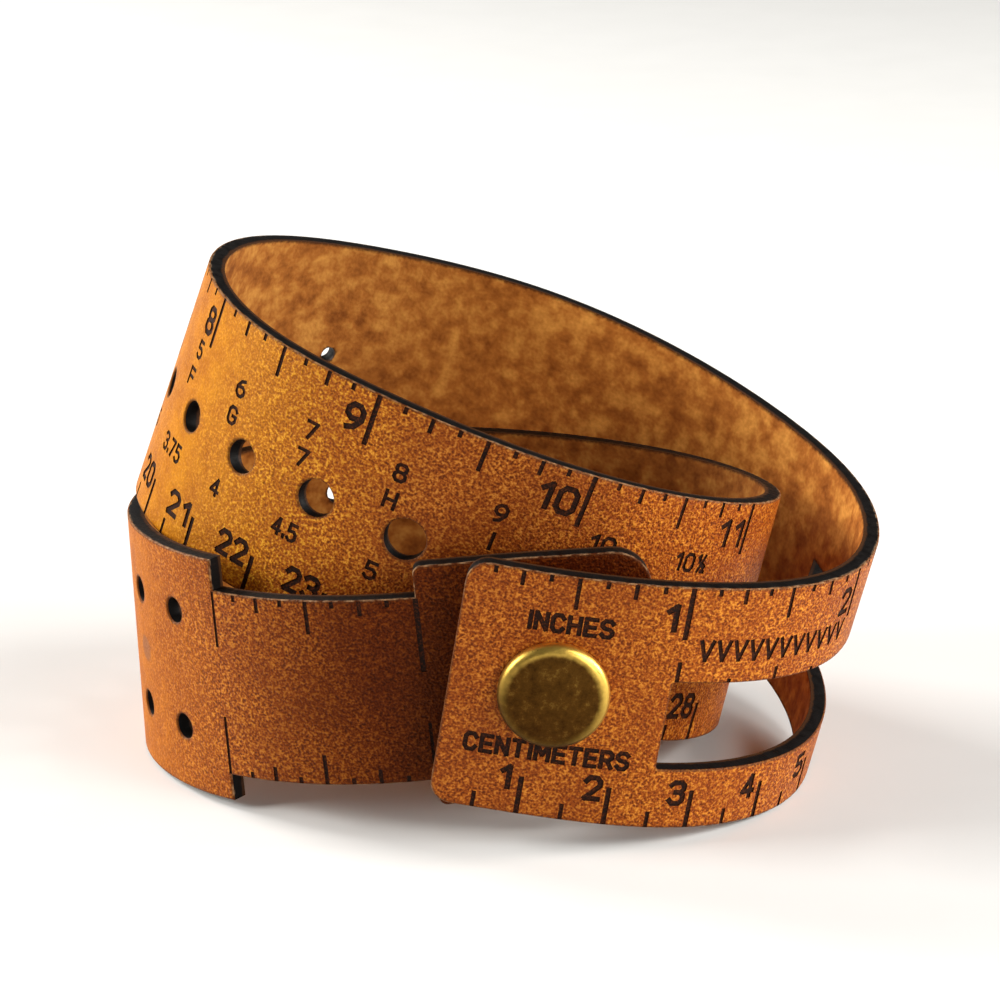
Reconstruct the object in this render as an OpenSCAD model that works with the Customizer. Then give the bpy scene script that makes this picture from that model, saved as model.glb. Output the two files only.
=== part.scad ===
// Leather wrist ruler: a flat strap wound twice round the wrist and closed by one brass snap.
// The strap is drawn bent, by moving every point of its flat pattern onto a route in space.
// Frame: X along the front the way the ruler's numbers rise, Y towards the back, Z up.
// The origin lies on the resting plane, under the middle of the whole object.

/* [Strap] */
// Length of the flat strap
strap_length = 477; // [470:1:480]
// Width of the flat strap
strap_width = 30; // [29:0.5:31]
// Thickness of the leather
leather = 2; // [1.6:0.1:2.1]
// Corner radius at the snap cap's end
start_corner = 2.5; // [1:0.5:4]
// Corner radius at the tab's end
end_corner = 4.5; // [2:0.5:6]

/* [Stitch window] */
// Distance of the window from the snap cap's end
window_start = 25; // [24.8:0.1:26]
// Length of the window along the strap
window_length = 51.2; // [48:0.1:54]
// Height of the window's lower edge above the strap's lower edge
window_low = 7.4; // [7:0.1:8]
// Height of the window's upper edge above the strap's lower edge
window_high = 18.3; // [16:0.1:19]

/* [Needle gauge] */
// Leather left between neighbouring gauge holes
gauge_web = 6.6; // [5.3:0.1:6.7]
// Distance of the 5 mm hole from the snap cap's end
gauge_place = 236.6; // [236:0.1:237]

/* [Row counter] */
// Number of columns of peg holes
counter_columns = 10; // [4:1:10]
// Distance between columns
counter_pitch = 9.6; // [8:0.1:9.6]
// Distance of the last column from the snap cap's end
counter_last = 418; // [417:0.1:420]
// Diameter of a peg hole
counter_hole = 3.1; // [2.5:0.1:3.3]
// Distance from the strap's edge to each row of peg holes
counter_inset = 7.7; // [6:0.1:9]

/* [Wraps gauge] */
// Distance of the narrow stretch from the snap cap's end
wraps_start = 425.5; // [425:0.1:426]
// Length of the narrow stretch, one inch
wraps_length = 25.4; // [24:0.1:26]
// Depth of the notch in the upper edge
notch_top = 3.8; // [2:0.1:5]
// Depth of the notch in the lower edge
notch_bottom = 3.3; // [2:0.1:5]

/* [Snap] */
// Distance of the cap's middle from the strap's end
cap_place = 11.9; // [11.5:0.1:12.5]
// Height of the snap's middle above the strap's lower edge
snap_across = 15.6; // [15:0.1:16]
// Distance of the stud's middle from the snap cap's end of the strap
stud_place = 465.4; // [465:0.1:466]
// Diameter of the cap
cap_d = 12.8; // [12:0.1:13.2]
// Height of the cap above the leather
cap_h = 1.8; // [1.5:0.1:2.1]
// Diameter of the socket
socket_d = 10.8; // [10:0.1:11.2]
// Diameter of the socket's mouth
mouth_d = 5.5; // [5.3:0.1:5.8]
// Diameter of the stud's head
stud_head_d = 4.7; // [4.6:0.05:4.8]
// Diameter of the stud's neck
stud_neck_d = 4; // [3.8:0.05:4.1]
// Diameter of the stud's flange
stud_flange_d = 8.9; // [8:0.1:9.5]
// Sheet metal thickness of the snap's pieces
sheet = 0.4; // [0.3:0.05:0.45]
// Diameter of the socket's spring wire
wire_d = 0.6; // [0.5:0.05:0.65]

/* [Hidden] */

tan_leather = "peru";
old_brass = "darkgoldenrod";
steel = "silver";

// Needle diameters in millimetres, smallest first, and which one gauge_place is for
needle_sizes = [2, 2.25, 2.75, 3.25, 3.5, 3.75, 4, 4.5, 5, 5.5, 6, 6.5];
anchor_needle = 8;

// Where the strap's zones meet, along the strap
flap_end = 34;      // the flap's leather turns about the bend from here
bend_end = 58;
outer_turn_end = 152;
small_needles_end = 219.5;
needle_gauge_end = 241.2;
inner_turn_end = 328;
wraps_end = wraps_start + wraps_length;
window_end = window_start + window_length;
flap_gap = 0.2;     // open seam that lets the flap swing clear of the bend

// The route of the strap's centre line: one station every 30 degrees round the wrist, starting
// 60 degrees before the front. Each is [distance from the middle, height, outward lean of the
// strap's upper edge in degrees]. The strap makes two turns, climbs over its own third pass at
// the back left, and comes down inside the first turn.
route_step = 30;
route_first = -60;
route = [
    [55, 28.5, -3], [40, 23.5, 0],
    [36.5, 20, 4], [41.5, 17, 3], [44, 14, 15], [41, 16.5, 15], [37.5, 21, 8], [37, 27, 2],
    [39, 33.5, 0], [41.5, 39.5, -11], [43.5, 45, -15], [42.5, 46, -22], [37, 42, -9], [30, 36, 0],
    [28, 30, 1], [28, 24.5, 3], [29, 20, 9], [30, 17, 16], [28.5, 16, 9], [27, 16, 2],
    [29.5, 16, -2], [36, 16, -2], [44.5, 15, 1], [48.5, 15, 3], [43.5, 15.5, 2], [36, 17.5, 2],
    [30, 19.5, 4], [34.5, 20, 3], [49.5, 21, -5], [75, 21.5, -7]];
lead_in = 14.5;     // route travelled before the strap begins
route_middle = [1.3, -0.2];      // puts the origin under the middle of the whole object
samples_per_station = 16;

ring_step = 3.6;    // longest step between the strap's rings
strips = 4;         // strips across the strap's width
cutter_rise = 1;    // how far a cutter stands out of the leather on each side

middle = strap_width / 2;
skin = leather / 2;

// ---- the route as a uniform cubic spline ----
function unit(v) = v / norm(v);
function xyz(p) = [p[0], p[1], p[2]];
function station(i) = let (a = route_first + i * route_step, r = route[i])
    [route_middle.x + r[0] * sin(a), route_middle.y - r[0] * cos(a), r[1], r[2]];
stations = [for (i = [0 : len(route) - 1]) station(i)];
function place_weights(f) =
    [pow(1 - f, 3), 3 * pow(f, 3) - 6 * f * f + 4,
     -3 * pow(f, 3) + 3 * f * f + 3 * f + 1, pow(f, 3)] / 6;
function slope_weights(f) = [-pow(1 - f, 2), 3 * f * f - 4 * f, -3 * f * f + 2 * f + 1, f * f] / 2;
function first_station(u) = max(0, min(floor(u), len(route) - 4));
function blend(i, w) =
    w[0] * stations[i] + w[1] * stations[i + 1] + w[2] * stations[i + 2] + w[3] * stations[i + 3];
function route_place(u) = let (i = first_station(u)) blend(i, place_weights(u - i));
function route_slope(u) = let (i = first_station(u)) blend(i, slope_weights(u - i));

// Distance travelled along the route, as pairs [distance, place on the spline]
sample_count = (len(route) - 3) * samples_per_station;
samples = [for (k = [0 : sample_count]) xyz(route_place(k / samples_per_station))];
function sample_step(k) = k < sample_count ? norm(samples[k + 1] - samples[k]) : 0;
travel = [for (k = 0, d = 0; k <= sample_count; d = d + sample_step(k), k = k + 1)
    [d, k / samples_per_station]];

// The strap's frame at a distance along it: [centre, along, across towards the upper edge, outward]
function strap_frame(along) =
    let (u = lookup(along + lead_in, travel),
         p = route_place(u),
         heading = unit(xyz(route_slope(u))),
         out = unit([heading.y, -heading.x, 0]),
         across = cross(out, heading) * cos(p[3]) + out * sin(p[3]))
    [xyz(p), heading, across, cross(heading, across)];
// A point of the flat pattern, along and across the strap, rise above the leather's mid plane
function strap_point(along, across, rise) =
    let (f = strap_frame(along)) f[0] + (across - middle) * f[2] + rise * f[3];

// How far the rounded corners pull the edges in, at a distance along the strap
function corner_pull(from_end, r) = from_end >= r ? 0 : r - sqrt(max(0, r * r - pow(r - from_end, 2)));
function edge_pull(along) =
    max(corner_pull(along, start_corner), corner_pull(strap_length - along, end_corner));

// Steps along the strap from one stop to the next, each stop included
function steps(stops) = [
    for (i = [0 : len(stops) - 2])
        let (run = stops[i + 1] - stops[i], n = max(1, ceil(run / ring_step)))
            for (k = [0 : n - 1]) stops[i] + run * k / n,
    stops[len(stops) - 1]];
// Closer steps along a rounded corner, from the strap's end inwards
function corner_steps(r) = [for (a = [90 : -18 : 18]) r * (1 - sin(a))];

// Heights across the strap at which a zone is divided, plain and beside the stitch window
plain_rows = [for (k = [0 : strips]) strap_width * k / strips];
window_rows = [0, window_low / 2, window_low, (window_low + window_high) / 2, window_high,
               (window_high + strap_width) / 2, strap_width];

function in_window(along, across) =
    along > window_start && along < window_end && across > window_low && across < window_high;
function two_triangles(a, b, c, d) = [[a, b, c], [a, c, d]];

// A closed bent sheet of leather: rings at the given steps, divided across at the given heights,
// open where the stitch window is
module bent_sheet(at, rows) {
    rings = len(at);
    cells = len(rows) - 1;
    points = [for (along = at) let (f = strap_frame(along), pull = edge_pull(along))
        for (rise = [skin, -skin]) for (across = rows)
            f[0] + (pull + across * (1 - 2 * pull / strap_width) - middle) * f[2] + rise * f[3]];
    function o(r, c) = r * 2 * len(rows) + c;
    function i(r, c) = (r * 2 + 1) * len(rows) + c;
    function solid(r, c) = r >= 0 && r < rings - 1 && c >= 0 && c < cells
        && !in_window((at[r] + at[r + 1]) / 2, (rows[c] + rows[c + 1]) / 2);
    faces = [for (r = [0 : rings - 2]) for (c = [0 : cells - 1]) if (solid(r, c)) each concat(
        two_triangles(o(r, c), o(r, c + 1), o(r + 1, c + 1), o(r + 1, c)),
        two_triangles(i(r, c), i(r + 1, c), i(r + 1, c + 1), i(r, c + 1)),
        solid(r, c - 1) ? [] : two_triangles(o(r, c), o(r + 1, c), i(r + 1, c), i(r, c)),
        solid(r, c + 1) ? [] : two_triangles(o(r, c + 1), i(r, c + 1), i(r + 1, c + 1), o(r + 1, c + 1)),
        solid(r - 1, c) ? [] : two_triangles(i(r, c), i(r, c + 1), o(r, c + 1), o(r, c)),
        solid(r + 1, c) ? [] : two_triangles(o(r + 1, c), o(r + 1, c + 1), i(r + 1, c + 1), i(r + 1, c)))];
    polyhedron(points, faces);
}

// A drill square to the leather
module drill(along, across, d) {
    f = strap_frame(along);
    translate(strap_point(along, across, 0))
        rotate([0, acos(f[3].z), atan2(f[3].y, f[3].x)])
            cylinder(h = leather + 2 * cutter_rise, d = d, center = true, $fn = 48);
}

// Places of the gauge holes, worked out both ways from the anchor hole
function sum_to(list, n) = n <= 0 ? 0 : list[n - 1] + sum_to(list, n - 1);
needle_places = [for (k = [0 : len(needle_sizes) - 1])
    gauge_place + (k - anchor_needle) * gauge_web
        + sum_to(needle_sizes, k) + needle_sizes[k] / 2
        - sum_to(needle_sizes, anchor_needle) - needle_sizes[anchor_needle] / 2];
module needle_drills(from, to) {
    for (k = [0 : len(needle_sizes) - 1])
        if (needle_places[k] > from && needle_places[k] < to)
            drill(needle_places[k], middle, needle_sizes[k]);
}

module counter_drills() {
    for (k = [0 : counter_columns - 1])
        for (across = [counter_inset, strap_width - counter_inset])
            drill(counter_last - k * counter_pitch, across, counter_hole);
}

// ---- the snap's own frame: its axis stands square to the flap, its zero is the tab's outer face ----
snap_axis = strap_frame(cap_place)[3];
cap_middle = strap_point(cap_place, snap_across, 0);
tab_middle = strap_point(stud_place, snap_across, 0);
snap_gap = (cap_middle - tab_middle) * snap_axis - leather;
snap_zero = cap_middle - snap_axis * (skin + snap_gap);
module on_snap(rise) {
    translate(snap_zero + snap_axis * rise)
        rotate([0, acos(snap_axis.z), atan2(snap_axis.y, snap_axis.x)])
            children();
}

// A drill for the hole that one of the snap's posts goes through
module post_drill(d) {
    cylinder(h = leather + 2 * cutter_rise, d = d + 2 * hole_play, center = true, $fn = 48);
}

// ---- the strap: one piece of leather, divided where it bends and by what each zone is for ----
module strap_flap() {
    color(tan_leather)
        difference() {
            bent_sheet(concat(corner_steps(start_corner),
                              steps([start_corner, window_start, flap_end - flap_gap])),
                       window_rows);
            on_snap(snap_gap + skin) post_drill(cap_post_d);
        }
}

module strap_bend() {
    color(tan_leather)
        bent_sheet(steps([flap_end, bend_end]), window_rows);
}

module strap_outer_turn() {
    color(tan_leather)
        bent_sheet(steps([bend_end, window_end, outer_turn_end]), window_rows);
}

module strap_small_needles() {
    color(tan_leather)
        difference() {
            bent_sheet(steps([outer_turn_end, small_needles_end]), plain_rows);
            needle_drills(outer_turn_end, small_needles_end);
        }
}

module strap_needle_gauge() {
    color(tan_leather)
        difference() {
            bent_sheet(steps([small_needles_end, needle_gauge_end]), plain_rows);
            needle_drills(small_needles_end, needle_gauge_end);
        }
}

module strap_inner_turn() {
    color(tan_leather)
        difference() {
            bent_sheet(steps([needle_gauge_end, inner_turn_end]), plain_rows);
            needle_drills(needle_gauge_end, inner_turn_end);
        }
}

module strap_row_counter() {
    color(tan_leather)
        difference() {
            bent_sheet(steps([inner_turn_end, wraps_start]), plain_rows);
            counter_drills();
        }
}

module strap_wraps_gauge() {
    narrow = strap_width - notch_top - notch_bottom;
    color(tan_leather)
        bent_sheet(steps([wraps_start, wraps_end]),
                   [for (k = [0 : strips]) notch_bottom + narrow * k / strips]);
}

module strap_tab() {
    round_end = corner_steps(end_corner);
    color(tan_leather)
        difference() {
            bent_sheet(concat(steps([wraps_end, strap_length - end_corner]),
                              [for (k = [len(round_end) - 1 : -1 : 0]) strap_length - round_end[k]]),
                       plain_rows);
            on_snap(-skin) post_drill(stud_post_d);
        }
}

// ---- the snap's pieces, heights measured along its axis from the tab's outer face ----
hole_play = 0.05;       // play of a post in its hole
clear = 0.02;           // gap kept between two pieces that lie on each other
flap_bow = 0.24;        // room for the flap's bow over the socket's flat top
stud_seat = 0.18;       // room for the tab's bow under the stud's flat flange
post_seat = 0.2;        // room for the tab's bow over the stud post's flat flange
stud_floor = stud_seat + sheet;
cap_post_d = 3.9;
stud_post_d = 2.9;
post_wall = 0.35;
post_roll = 0.45;       // height of the cap post's rolled end
cap_rim = 1.1;          // radius of the cap's rounded rim
cap_crown = 0.25;       // rise of the cap's top to its middle
stud_top = snap_gap - 1.35;
head_rise = stud_top - 0.6;
spring_rise = 1.5;
lip_rise = stud_floor + sheet + 0.1;
socket_top = snap_gap - flap_bow;
leg_place = stud_neck_d / 2 + wire_d / 2 + 0.03;
spring_bow = socket_d / 2 - sheet - wire_d / 2 - 0.3;

// A shallow pan, turned under all round, with a rounded rim and a slightly crowned top
module cap_shell() {
    r = cap_d / 2;
    top = cap_h - cap_crown;
    hem = 0.15;
    color(old_brass)
        on_snap(snap_gap + leather)
            rotate_extrude($fn = 96)
                polygon(concat(
                    [[0, cap_h], [r * 0.45, top + cap_crown * 0.8], [r - cap_rim, top]],
                    [for (a = [75 : -15 : 0]) [r - cap_rim + cap_rim * cos(a),
                                               top - cap_rim + cap_rim * sin(a)]],
                    [[r, hem], [r - hem, clear], [r - cap_rim, clear], [r - cap_rim, hem],
                     [r - sheet, hem + sheet / 2]],
                    [for (a = [0 : 15 : 75]) [r - cap_rim + (cap_rim - sheet) * cos(a),
                                              top - cap_rim + (cap_rim - sheet) * sin(a)]],
                    [[r - cap_rim, top - sheet], [r * 0.45, top + cap_crown * 0.8 - sheet],
                     [0, cap_h - sheet]]));
}

// The rivet under the cap: a flange, and a barrel through leather and socket, rolled out inside
module cap_post() {
    r = cap_post_d / 2;
    flange_r = cap_d / 2 - cap_rim - 0.2;
    low = socket_top - sheet - post_roll - leather - snap_gap;
    color(old_brass)
        on_snap(snap_gap + leather)
            rotate_extrude($fn = 72)
                polygon([[0, sheet], [flange_r, sheet], [flange_r, clear], [r, clear],
                         [r, low + post_roll - clear], [r + 0.7, low + post_roll - 0.05],
                         [r + 0.8, low + 0.15], [r + 0.6, low], [r - 0.1, low + 0.05],
                         [r - post_wall, low + 0.3],
                         [r - post_wall, -0.3], [0, -0.3]]);
}

// The socket: a drawn cup against the flap's flesh side, its lip rolled in round the mouth
module socket_body() {
    r = socket_d / 2;
    mouth = mouth_d / 2;
    hole = cap_post_d / 2 + hole_play;
    color(old_brass)
        on_snap(0)
            rotate_extrude($fn = 72)
                polygon([[hole, socket_top], [r - 0.5, socket_top], [r - 0.1, socket_top - 0.3],
                         [r, socket_top - 0.7], [r, lip_rise + 0.2], [r - 0.5, lip_rise - 0.25],
                         [r - 1.1, lip_rise - sheet],
                         [mouth + 0.2, lip_rise - sheet], [mouth, lip_rise - sheet / 2],
                         [mouth + 0.2, lip_rise], [r - 1, lip_rise],
                         [r - sheet, lip_rise + 0.45], [r - sheet, socket_top - 0.8],
                         [r - 0.8, socket_top - sheet], [hole, socket_top - sheet]]);
}

// The ring inside the socket that keeps the spring against the lip
module socket_ring() {
    outer = socket_d / 2 - sheet - 0.05;
    inner = stud_head_d / 2 + 0.45;
    low = spring_rise + wire_d / 2 + 0.04;
    ring_sheet = 0.35;
    color(old_brass)
        on_snap(low)
            rotate_extrude($fn = 72)
                polygon([[inner, 0], [outer, 0], [outer, 2 * ring_sheet],
                         [outer - ring_sheet, 2 * ring_sheet], [outer - ring_sheet, ring_sheet],
                         [inner, ring_sheet]]);
}

// A hairpin of round wire: two legs that catch under the stud's head, joined by a bow
module socket_spring() {
    reach = sqrt(spring_bow * spring_bow - leg_place * leg_place);
    sweep = 2 * asin(leg_place / spring_bow);
    color(steel)
        on_snap(spring_rise)
            rotate([0, 0, 90])
                union() {
                    rotate([0, 0, -sweep / 2])
                        rotate_extrude(angle = sweep, $fn = 96)
                            translate([spring_bow, 0]) circle(d = wire_d, $fn = 24);
                    for (side = [-1, 1])
                        translate([-reach, side * leg_place, 0])
                            rotate([0, 90, 0]) cylinder(h = 2 * reach, d = wire_d, $fn = 24);
                }
}

// The stud: a flange on the tab's outer face and a hollow neck and head, open at the top
module stud_body() {
    neck = stud_neck_d / 2;
    head = stud_head_d / 2;
    bore = neck - 0.3;
    flange = stud_flange_d / 2;
    hole = stud_post_d / 2 + hole_play;
    color(old_brass)
        on_snap(0)
            rotate_extrude($fn = 72)
                polygon([[hole, stud_seat], [flange - 0.2, stud_seat], [flange, stud_seat + sheet / 2],
                         [flange - 0.2, stud_floor], [neck + 0.35, stud_floor], [neck, stud_floor + 0.35],
                         [neck, head_rise - 0.5], [head, head_rise], [head - 0.1, head_rise + 0.3],
                         [neck, stud_top], [bore, stud_top - 0.15], [bore, stud_floor], [hole, stud_floor]]);
}

// The rivet behind the tab: a low flange, and a barrel through the leather, rolled out in the stud
module stud_post() {
    r = stud_post_d / 2;
    flange_r = 4.2;
    back = -leather - post_seat;
    color(old_brass)
        on_snap(0)
            rotate_extrude($fn = 72)
                polygon([[r - post_wall, back - 0.55], [flange_r - 0.6, back - 0.45], [flange_r, back - 0.15],
                         [flange_r - 0.1, back], [r, back], [r, stud_floor + clear],
                         [r + 0.2, stud_floor + 0.1], [r + 0.2, stud_floor + 0.3],
                         [r - 0.05, stud_floor + 0.4],
                         [r - post_wall, stud_floor + 0.2]]);
}

strap_flap();
strap_bend();
strap_outer_turn();
strap_small_needles();
strap_needle_gauge();
strap_inner_turn();
strap_row_counter();
strap_wraps_gauge();
strap_tab();
cap_shell();
cap_post();
socket_body();
socket_ring();
socket_spring();
stud_body();
stud_post();
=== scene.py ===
"""Looks of a leather wrist ruler: a marked strap wound twice round the wrist and closed by a brass snap.

The strap is cut out as a flat pattern in millimetres, with its marks sunk into the grain side, and is
then bent along the same route as the CAD strap. Flat pattern: s runs along the strap from the snap
cap's end, v across it from the centimetre edge, and rise stands out from the leather's middle plane.
"""

import math

import bmesh
import bpy
import numpy as np
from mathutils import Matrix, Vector
from mathutils.geometry import delaunay_2d_cdt


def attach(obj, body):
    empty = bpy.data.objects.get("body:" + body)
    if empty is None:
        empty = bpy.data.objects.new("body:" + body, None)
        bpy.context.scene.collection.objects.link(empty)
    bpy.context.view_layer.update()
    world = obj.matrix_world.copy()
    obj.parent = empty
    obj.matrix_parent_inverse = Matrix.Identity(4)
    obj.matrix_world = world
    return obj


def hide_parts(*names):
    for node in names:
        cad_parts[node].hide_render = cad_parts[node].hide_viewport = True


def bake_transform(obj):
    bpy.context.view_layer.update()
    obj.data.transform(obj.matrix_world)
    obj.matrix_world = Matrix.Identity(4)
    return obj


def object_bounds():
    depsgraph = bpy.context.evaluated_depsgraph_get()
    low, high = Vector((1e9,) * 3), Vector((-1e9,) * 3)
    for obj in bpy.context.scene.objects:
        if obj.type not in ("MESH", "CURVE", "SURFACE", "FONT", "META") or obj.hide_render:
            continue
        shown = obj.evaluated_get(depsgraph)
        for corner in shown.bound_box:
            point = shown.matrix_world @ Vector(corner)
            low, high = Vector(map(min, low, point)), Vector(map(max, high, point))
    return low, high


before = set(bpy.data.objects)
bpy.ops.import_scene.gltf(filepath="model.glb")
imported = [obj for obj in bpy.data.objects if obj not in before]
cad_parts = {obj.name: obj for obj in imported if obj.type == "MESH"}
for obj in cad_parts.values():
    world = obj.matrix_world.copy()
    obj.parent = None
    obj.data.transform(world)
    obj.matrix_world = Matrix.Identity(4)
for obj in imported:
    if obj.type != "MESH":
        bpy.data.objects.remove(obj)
cad_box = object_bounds()

MM = 0.001
INCH = 25.4
CM = 10.0

# ---- driving sizes of the strap, as in the CAD model, in millimetres ----
STRAP_LENGTH = 477.0
STRAP_WIDTH = 30.0
LEATHER = 2.0
MIDDLE = STRAP_WIDTH / 2
SKIN = LEATHER / 2
START_CORNER = 2.5
END_CORNER = 4.5
TAB_CORNER = 1.0
WINDOW = (25.0, 76.2, 7.4, 18.3)  # s from and to, v from and to
WINDOW_CORNER = 0.4
# Each gauge hole's diameter, and its number, letter and size as they are marked beside it
NEEDLES = [
    (2.0, "0", "A", "2"),
    (2.25, "1", "B", "2.25"),
    (2.75, "2", "C", "2.75"),
    (3.25, "3", "D", "3.25"),
    (3.5, "4", "E", "3.5"),
    (3.75, "5", "F", "3.75"),
    (4.0, "6", "G", "4"),
    (4.5, "7", "7", "4.5"),
    (5.0, "8", "H", "5"),
    (5.5, "9", "I", "5.5"),
    (6.0, "10", "J", "6"),
    (6.5, "10½", "K", "6.5"),
]
ANCHOR_NEEDLE = 8  # the hole that the row is placed by, at ANCHOR_PLACE
ANCHOR_PLACE = 236.6
GAUGE_WEB = 6.6
COUNTER_COLUMNS = 10
COUNTER_PITCH = 9.6
COUNTER_LAST = 418.0
COUNTER_HOLE = 3.1
COUNTER_ROWS = (7.7, 22.3)
WRAPS_START = 425.5
WRAPS_END = WRAPS_START + INCH
NOTCH_TOP = 3.8
NOTCH_BOTTOM = 3.3
CAP_PLACE = 11.9
STUD_PLACE = 465.4
SNAP_ACROSS = 15.6
CAP_HOLE = 4.0
STUD_HOLE = 3.0
FLAP_PIECE_END = 58.0

# ---- the route of the strap's centre line: [distance from the middle, height, outward lean] ----
ROUTE_STEP = 30
ROUTE_FIRST = -60
ROUTE = [
    (55, 28.5, -3), (40, 23.5, 0),
    (36.5, 20, 4), (41.5, 17, 3), (44, 14, 15), (41, 16.5, 15), (37.5, 21, 8), (37, 27, 2),
    (39, 33.5, 0), (41.5, 39.5, -11), (43.5, 45, -15), (42.5, 46, -22), (37, 42, -9), (30, 36, 0),
    (28, 30, 1), (28, 24.5, 3), (29, 20, 9), (30, 17, 16), (28.5, 16, 9), (27, 16, 2),
    (29.5, 16, -2), (36, 16, -2), (44.5, 15, 1), (48.5, 15, 3), (43.5, 15.5, 2), (36, 17.5, 2),
    (30, 19.5, 4), (34.5, 20, 3), (49.5, 21, -5), (75, 21.5, -7),
]
LEAD_IN = 14.5  # length of route before the strap starts
ROUTE_MIDDLE = (1.3, -0.2)
SAMPLES_PER_STATION = 16

# ---- how the leather is worked, and how finely it is modelled ----
MARK_DEPTH = 0.14
EDGE_ROUND = 0.2
BURN_WIDTH = 0.75
STEP_ALONG = 1.2
STEP_ACROSS = 1.25
FLESH_STEP_ALONG = 1.5
FLESH_STEP_ACROSS = 3.0
FLESH_KEEP_OFF = 0.8
SEAM_POINTS = 23
ARC_STEP = 15  # degrees
EDGE_REACH = 1.5  # distances to an edge are only wanted this near to it

# ---- marks: depths are measured from the edge that a mark starts at, strokes are its width ----
RULER_INCHES = 11
RULER_CENTIMETRES = 28
MARK_MARGIN = 0.1  # marks stop this far from a cut edge
TICK = 0.5
LINE = 0.62
# By eighths of an inch past the last whole one: depth and stroke on the ruler, depth at the window, and
# depths from the upper and the lower notch of the wraps stretch
EIGHTHS = {0: (6.4, LINE), 2: (1.9, TICK), 4: (3.9, TICK), 6: (1.9, TICK)}
ODD_EIGHTH = (0.95, TICK)
WINDOW_TICKS = {0: 2.6, 2: 0.6, 4: 1.7, 6: 0.6}
WRAPS_TICKS = {2: (1.9, 1.9), 4: (4.1, 3.8), 6: (1.9, 1.9)}
ODD_WRAPS_TICK = (0.9, 0.9)
CENTIMETRE = (4.8, LINE)
HALF_CENTIMETRE = (2.1, TICK)
WRAPS_START_LINE = (6.9, 0.4)
WRAPS_END_LINE = (9.2, 0.6)
WRAPS_LOWER_LINE = (7.3, 0.4)
STITCHES = 11
STITCH_START = 28.2
STITCH_PITCH = 2.1
STITCH_HALF_WIDTH = 0.72
STITCH_ROW = (21.2, 23.5)
STITCH_STROKE = 0.5

# ---- lettering: middle of a word along the strap and across it, and its width ----
UNIT_NAMES = [("INCHES", 12.5, 24.2, 9.9), ("CENTIMETERS", 12.3, 8.2, 19.0)]
UNIT_HEIGHT, UNIT_STROKE = 2.5, 0.55
# Ruler numbers of one and of two figures: how far their middle stands before the line, and their width
INCH_NUMBERS = {1: (2.0, 2.5), 2: (3.3, 5.0)}
INCH_ACROSS, INCH_HEIGHT, INCH_STROKE = 26.2, 3.6, 0.7
CM_NUMBERS = {1: (1.9, 2.3), 2: (3.1, 4.7)}
CM_ACROSS, CM_HEIGHT, CM_STROKE = 4.5, 3.3, 0.66
RULER_ONE_WIDTH = 0.7  # a lone 1 is narrower than the other figures
# Marks beside a gauge hole: which entry of its needle, how far before the hole, and place across
GAUGE_ROWS = [(1, 3.0, 22.3), (2, 3.1, 18.8), (3, 2.4, 9.8)]
GAUGE_HEIGHT, GAUGE_STROKE = 2.4, 0.44
GAUGE_SIGN_PITCH, GAUGE_SIGN_GAP = 1.8, 0.1
GAUGE_ONE_WIDTH = 1.2

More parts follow.
